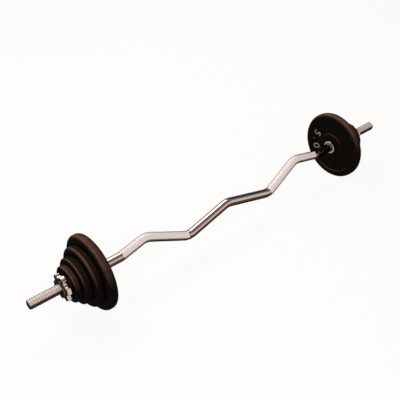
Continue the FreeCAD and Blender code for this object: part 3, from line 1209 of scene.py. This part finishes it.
@dataclass
class PlateFigures:
    """Weight cast in raised figures on the inner face of a large plate, their tops to the hub."""

    side: Side
    reach: float = 59.5
    height: float = 21
    width: float = 13
    stroke: float = 3
    proud: float = 1.5
    sunk: float = 0.4
    squareness: float = 0.6
    blunt_end: float = 0.02
    first_angle: float = 70
    dot_angle: float = 93
    last_angle: float = 114
    around: int = 20
    finish: Finish = FigurePaint()

    def build(self) -> None:
        """Make the figures 5, point and 0 on the plate."""
        node = f"plate_large_{self.side.label}"
        seat = Seat.of(node)
        middle = (self.first_angle + self.last_angle) / 2
        figures = [
            (self.five(), False, self.first_angle),
            (self.dot(), False, self.dot_angle),
            (self.nought(), True, self.last_angle),
        ]
        shells = [
            self.ridge(line, loop, middle + self.side.value * (angle - middle), seat)
            for line, loop, angle in figures
        ]
        lay_piece(f"{node}_figures", joined(shells), self.finish, node)

    def five(self) -> np.ndarray:
        """Centre line of a 5: a top bar, a stem and a bowl that is part of an ellipse.

        Its numbers are shares of the figure's width and height, from its lower left corner.

        Returns:
            Points across and up, from the middle of the figure.
        """
        turn = np.radians(np.linspace(140, -140, 60))
        bowl = np.stack([0.45 + 0.52 * np.cos(turn), 0.32 + 0.32 * np.sin(turn)], axis=-1)
        line = np.concatenate([[[0.94, 1.0], [0.14, 1.0], [0.07, 0.55]], bowl])
        return self.evened((line - 0.5) * np.array([self.width, self.height]))

    def nought(self) -> np.ndarray:
        """Centre line of a 0: an ellipse."""
        turn = circle(72)
        return np.stack([self.width * np.cos(turn), self.height * np.sin(turn)], axis=-1) / 2

    def dot(self) -> np.ndarray:
        """Centre line of a point: a short stroke on the figures' foot."""
        rise = np.linspace(-self.stroke / 2, self.stroke / 2, 15)
        return np.stack([0 * rise, rise + self.stroke / 2 - self.height / 2], axis=-1)

    def evened(self, line: np.ndarray, count: int = 90, blunt: int = 5) -> np.ndarray:
        """Space the points of a line evenly and blunt its corners with a running mean.

        Args:
            line: Points of the line.
            count: Points to give.
            blunt: Points on each side that the mean takes in.

        Returns:
            The evened points.
        """
        reach = self.reaches(line)
        even = np.linspace(0, reach[-1], count)
        spaced = [np.interp(even, reach, part) for part in line.T]
        window = np.ones(2 * blunt + 1) / (2 * blunt + 1)
        padded = [np.pad(part, blunt, mode="edge") for part in spaced]
        return np.stack([np.convolve(part, window, mode="valid") for part in padded], axis=-1)

    def reaches(self, line: np.ndarray) -> np.ndarray:
        """Distance of each point of a line from its start, along the line."""
        steps = np.linalg.norm(np.diff(line, axis=0), axis=1)
        return np.concatenate([[0], np.cumsum(steps)])

    def ridge(self, line: np.ndarray, loop: bool, angle: float, seat: Seat) -> Shell:
        """Carry a flat-topped round section along a line on the plate's face.

        The section is half the stroke times the signed power of the cosine of its angle across the
        line, and the height times the same power of the sine above the face. At the ends of an open
        line it shrinks as a half circle does.

        Args:
            line: Centre line across and up, in the figure's own frame.
            loop: Whether the line closes on itself.
            angle: Place of the figure, from the top of the plate towards +Y.
            seat: Place of the plate's node.

        Returns:
            The skin of the ridge.
        """
        if loop:
            heading = np.roll(line, -1, axis=0) - np.roll(line, 1, axis=0)
            shrink = np.ones(len(line))
        else:
            heading = np.gradient(line, axis=0)
            reach = self.reaches(line)
            to_end = np.minimum(reach, reach[-1] - reach) / (self.stroke / 2)
            shrink = np.sqrt(np.clip(1 - np.clip(1 - to_end, 0, 1) ** 2, self.blunt_end, 1))
        heading /= np.linalg.norm(heading, axis=1)[:, None]
        normal = np.stack([-heading[:, 1], heading[:, 0]], axis=-1)
        turn = circle(self.around)
        wide = np.sign(np.cos(turn)) * np.abs(np.cos(turn)) ** self.squareness
        tall = np.where(np.sin(turn) > 0, np.abs(np.sin(turn)) ** self.squareness, 0)
        top = shrink[:, None] * tall[None, :]
        offset = self.stroke / 2 * shrink[:, None] * wide[None, :]
        flat = line[:, None, :] + offset[..., None] * normal[:, None, :]
        order = self.side.value
        at = np.radians(angle)
        outwards = np.array([np.sin(at), np.cos(at)])
        onwards = np.array([np.cos(at), -np.sin(at)]) * order
        on_plate = self.reach * outwards + flat[..., :1] * onwards - flat[..., 1:] * outwards
        face = seat.start / MM + PlateSize.LARGE.value.recess
        along = order * (face + self.sunk - (self.proud + self.sunk) * top)
        height = on_plate[..., 1] + seat.height / MM
        rings = np.stack([along, on_plate[..., 0], height], axis=-1) * MM
        return skin(rings, top, endless=loop)


@dataclass
class LockNut:
    """Star nut of six lobes and scallops, and the rubber ring it presses on the outermost plate."""

    side: Side
    diameter: float = 70
    thickness: float = 11.5
    lobes: int = 6
    lobe_phase: float = 16.6
    lobe_corner_round: float = 3
    scallop_radius: float = 9
    scallop_reach: float = 36.5
    edge_round: float = 2
    edge_hold: float = 0.5
    hub_diameter: float = 40
    hub_height: float = 2.5
    hub_chamfer: float = 1
    fillet: float = 0.4
    blunting: float = 0.25
    easing: float = 0.3
    bore_diameter: float = 25.2
    bore_mouth: float = 0.8
    seat_diameter: float = 43
    seat_depth: float = 2.5
    ring_bore: float = 26
    ring_bore_round: float = 0.3
    ring_round: float = 0.8
    arc_points: int = 10
    edge_points: int = 7
    nut_finish: Finish = ChromedCasting(name="chromium_plate_on_star_casting")
    ring_finish: Finish = MouldedRubber()

    def build(self) -> None:
        """Make the nut and its ring in place of their nodes."""
        nut = f"star_nut_{self.side.label}"
        lay_piece(f"{nut}_casting", self.star(Seat.of(nut)), self.nut_finish, nut, [nut])
        ring = f"rubber_ring_{self.side.label}"
        moulding = Seat.of(ring).ring(
            self.side, self.ring_bore, self.ring_bore_round, self.ring_round
        )
        lay_piece(f"{ring}_moulding", moulding, self.ring_finish, ring, [ring])

    def outline(self) -> tuple[np.ndarray, np.ndarray]:
        """Work out the star: a circle cut by scallops, with a round on each corner between them.

        The middle of a corner's round lies its radius inside the circle and both radii away from
        the middle of the scallop, which fixes the angle between the two. Each arc is its middle
        plus its radius times the direction in which it faces.

        Returns:
            Points of the outline across and up, and the direction in which each faces.
        """
        step = TURN / self.lobes
        corner, dip = self.lobe_corner_round, self.scallop_radius
        inner, reach = self.diameter / 2 - corner, self.scallop_reach
        apart = (reach**2 + inner**2 - (dip + corner) ** 2) / (2 * reach * inner)
        lobe = step / 2 - np.arccos(apart)
        ways_out = np.exp(1j * np.array([0, lobe, step / 2, step - lobe]))
        middles = (np.array([0, inner, reach, inner]) * ways_out)[:, None]
        lean = np.angle(middles[2, 0] - middles[1, 0])
        starts = np.array([-lobe, lobe, lean, step - lean])
        ends = np.array([lobe, lean, step - lean, step - lobe])
        share = np.linspace(0, 1, self.arc_points, endpoint=False)
        facing = np.exp(1j * (starts[:, None] + (ends - starts)[:, None] * share))
        radii = np.array([self.diameter / 2, corner, -dip, corner])[:, None]
        spins = np.radians(self.lobe_phase) + step * np.arange(self.lobes)
        spin = np.exp(1j * spins)[:, None, None]
        points, ways = (
            (spin * part).reshape(-1) for part in (middles + radii * facing, facing)
        )
        return tuple(np.stack([part.real, part.imag], axis=-1) for part in (points, ways))

    def star(self, seat: Seat) -> Shell:
        """Carry the nut's section round the star.

        Outside, each ring of the section is the star drawn in by a distance along its own normals.
        Faces, hub, bore and the seat of the ring are circles at the same angles as the star's
        points.

        Args:
            seat: Place of the nut's node.

        Returns:
            The skin of the nut.
        """
        star, facing = self.outline()
        angle = np.arctan2(star[:, 1], star[:, 0])
        unit = np.stack([np.cos(angle), np.sin(angle)], axis=-1)
        bend = np.radians(np.linspace(0, 90, self.edge_points))
        curve = self.edge_round * (1 - np.sin(bend))
        rise = self.edge_round * (1 - np.cos(bend))
        flat_end = [self.edge_round + self.edge_hold]
        inset = np.concatenate([flat_end, curve, curve[::-1], flat_end])
        depth = np.concatenate([[0], rise, self.thickness - rise[::-1], [self.thickness]])
        edge = star[None, :, :] - inset[:, None, None] * facing[None, :, :]
        section = self.section()
        circles = section[:, 1][:, None, None] * unit[None, :, :]
        flat = np.concatenate([edge, circles])
        along = seat.start / MM + np.concatenate([depth, section[:, 0]])
        x = self.side.value * along[:, None] + 0 * flat[..., 0]
        across = self.side.value * flat[..., 0]
        rings = np.stack([x, across, flat[..., 1] + seat.height / MM], axis=-1) * MM
        # Painted highlight: relief 1 on the lobes' rounded sides, which the finish paints bright.
        sides = [[0], np.sin(bend), np.sin(bend[::-1]), [0]]
        pale_highlight = np.concatenate([*sides, np.zeros(len(section))])
        return skin(rings, pale_highlight[:, None] + np.zeros(x.shape), endless=True)

    def section(self) -> np.ndarray:
        """Lay out the round part of the nut's section, from the outer face over the hub and back.

        Returns:
            Depth from the inner face and radius of each point.
        """
        face, top = self.thickness, self.thickness + self.hub_height
        hub, cut = self.hub_diameter / 2, self.hub_chamfer
        bore, mouth = self.bore_diameter / 2, self.bore_mouth
        cup, low = self.seat_diameter / 2, self.seat_depth
        soft, tiny, ease = self.fillet, self.blunting, self.easing
        return np.array(
            [
                (face, hub + 3 * soft),
                (face, hub + soft),
                (face + ease * soft, hub + ease * soft),
                (face + soft, hub),
                (top - cut - tiny, hub),
                (top - cut, hub - tiny / 5),
                (top - cut + tiny, hub - tiny),
                (top - tiny, hub - cut + tiny),
                (top, hub - cut),
                (top, hub - cut - soft),
                (top, bore + mouth + ease),
                (top, bore + mouth),
                (top - mouth / 4, bore + mouth * 5 / 8),
                (top - mouth, bore),
                (low + soft, bore),
                (low, bore + soft),
                (low, cup - soft),
                (low - soft, cup),
                (tiny, cup),
                (0, cup + tiny),
                (0, cup + 4 * tiny),
            ]
        )


def stand(thing: bpy.types.Object, at: Place, aim: Place) -> None:
    """Put a lamp or camera into the scene.

    Args:
        thing: Lamp or camera.
        at: Its place.
        aim: Point that it faces.
    """
    thing.location = Vector(at) * MM
    thing.rotation_euler = (Vector(aim) - Vector(at)).to_track_quat("-Z", "Y").to_euler()
    bpy.context.scene.collection.objects.link(thing)


@dataclass(frozen=True)
class Softbox:
    """Soft rectangular lamp that hangs over the bar.

    Attributes:
        name: Name of the lamp.
        at: Its place.
        size: Its width and height.
        watts: Its power.
        colour: Its colour.
        mirrored: Whether it shows in mirroring surfaces.
        aim: Point that it faces.
    """

    name: str
    at: Place
    size: tuple[float, float]
    watts: float
    colour: str
    mirrored: bool = True
    aim: Place = (0, 0, 100)

    def build(self) -> None:
        """Hang the lamp."""
        data = bpy.data.lights.new(self.name, "AREA")
        data.shape = "RECTANGLE"
        data.size, data.size_y = (reach * MM for reach in self.size)
        data.energy = self.watts
        data.color = linear(self.colour)[:3]
        lamp = bpy.data.objects.new(self.name, data)
        stand(lamp, self.at, self.aim)
        lamp.visible_glossy = self.mirrored


@dataclass
class Studio:
    """White paper floor, soft light and the camera.

    The room's ranges are heights of a direction, from 0 at the horizon to 1 overhead, and the
    doorway's is the cosine of the angle from its middle.
    """

    floor_reach: float = 40000
    floor_finish: Finish = FloorPaper()
    ceiling_colour: str = "#8e766f"
    ceiling_range: tuple[float, float] = (0.42, 0.7)
    wall_colour: str = "#f3ece8"
    wall_range: tuple[float, float] = (0.1, 0.22)
    horizon_colour: str = "#f9f8f8"
    doorway_colour: str = "#2e2320"
    doorway_way: Place = (0.95, 0.31, 0)
    doorway_range: tuple[float, float] = (0.62, 0.82)
    lamps: tuple[Softbox, ...] = (
        Softbox("softbox_above", (0, 1180, 2060), (2400, 900), 36, "#fff6ee"),
        Softbox("softbox_front", (-1300, -1400, 1900), (1800, 1400), 35, "#f6f8ff", mirrored=False),
    )
    camera_at: Place = (-1017.1, -1108.6, 1271.9)
    camera_aim: Place = (-51.3, 49.65, 100)
    lens: float = 63.57
    sensor: float = 36

    def build(self) -> None:
        """Make the floor, the room, the lamps and the camera."""
        bpy.context.scene.view_settings.view_transform = "Standard"
        self.floor()
        self.room()
        for lamp in self.lamps:
            lamp.build()
        self.camera()

    def floor(self) -> None:
        """Lay the paper, one flat square with its middle under the bar."""
        reach = self.floor_reach * MM
        points = [(-reach, -reach, 0), (reach, -reach, 0), (reach, reach, 0), (-reach, reach, 0)]
        mesh = bpy.data.meshes.new("studio_floor")
        mesh.from_pydata(points, [], [(0, 1, 2, 3)])
        mesh.materials.append(self.floor_finish.material())
        floor = bpy.data.objects.new("studio_floor", mesh)
        bpy.context.scene.collection.objects.link(floor)

    def room(self) -> None:
        """Colour the room: white at the horizon, pale walls, a dark doorway and a dim ceiling."""
        world = bpy.data.worlds.new("studio_room")
        bpy.context.scene.world = world
        world.use_nodes = True
        world.node_tree.nodes.clear()
        nodes = Nodes(world.node_tree)
        way = nodes.out("ShaderNodeTexCoord", "Generated")
        height = nodes.out("ShaderNodeSeparateXYZ", "Z", {"Vector": way})
        towards = nodes.out(
            "ShaderNodeVectorMath", "Value", {0: way, 1: self.doorway_way}, operation="DOT_PRODUCT"
        )
        overhead = nodes.ramp(height, *self.ceiling_range, soft=True)
        doorway = nodes.ramp(towards, *self.doorway_range, soft=True)
        horizon = nodes.ramp(height, *self.wall_range[::-1], soft=True)
        tint = nodes.blend(overhead, self.wall_colour, self.ceiling_colour)
        tint = nodes.blend(doorway, tint, self.doorway_colour)
        tint = nodes.blend(horizon, tint, self.horizon_colour)
        light = nodes.out("ShaderNodeBackground", 0, {"Color": tint, "Strength": 1.0})
        add_node(world.node_tree, "ShaderNodeOutputWorld", {"Surface": light})

    def camera(self) -> None:
        """Set the camera at the photograph's viewing angle."""
        data = bpy.data.cameras.new("photo_camera")
        data.lens = self.lens
        data.sensor_width = self.sensor
        data.dof.use_dof = False
        camera = bpy.data.objects.new("photo_camera", data)
        stand(camera, self.camera_at, self.camera_aim)
        bpy.context.scene.camera = camera


def main() -> None:
    """Build the studio and every sub-assembly in order."""
    logging.basicConfig(level=logging.INFO, format="%(message)s")
    Studio().build()
    Bar().build()
    for side in Side:
        for size in PlateSize:
            Plate(size, side).build()
        PlateFigures(side).build()
        LockNut(side).build()


if __name__ == "__main__":
    main()
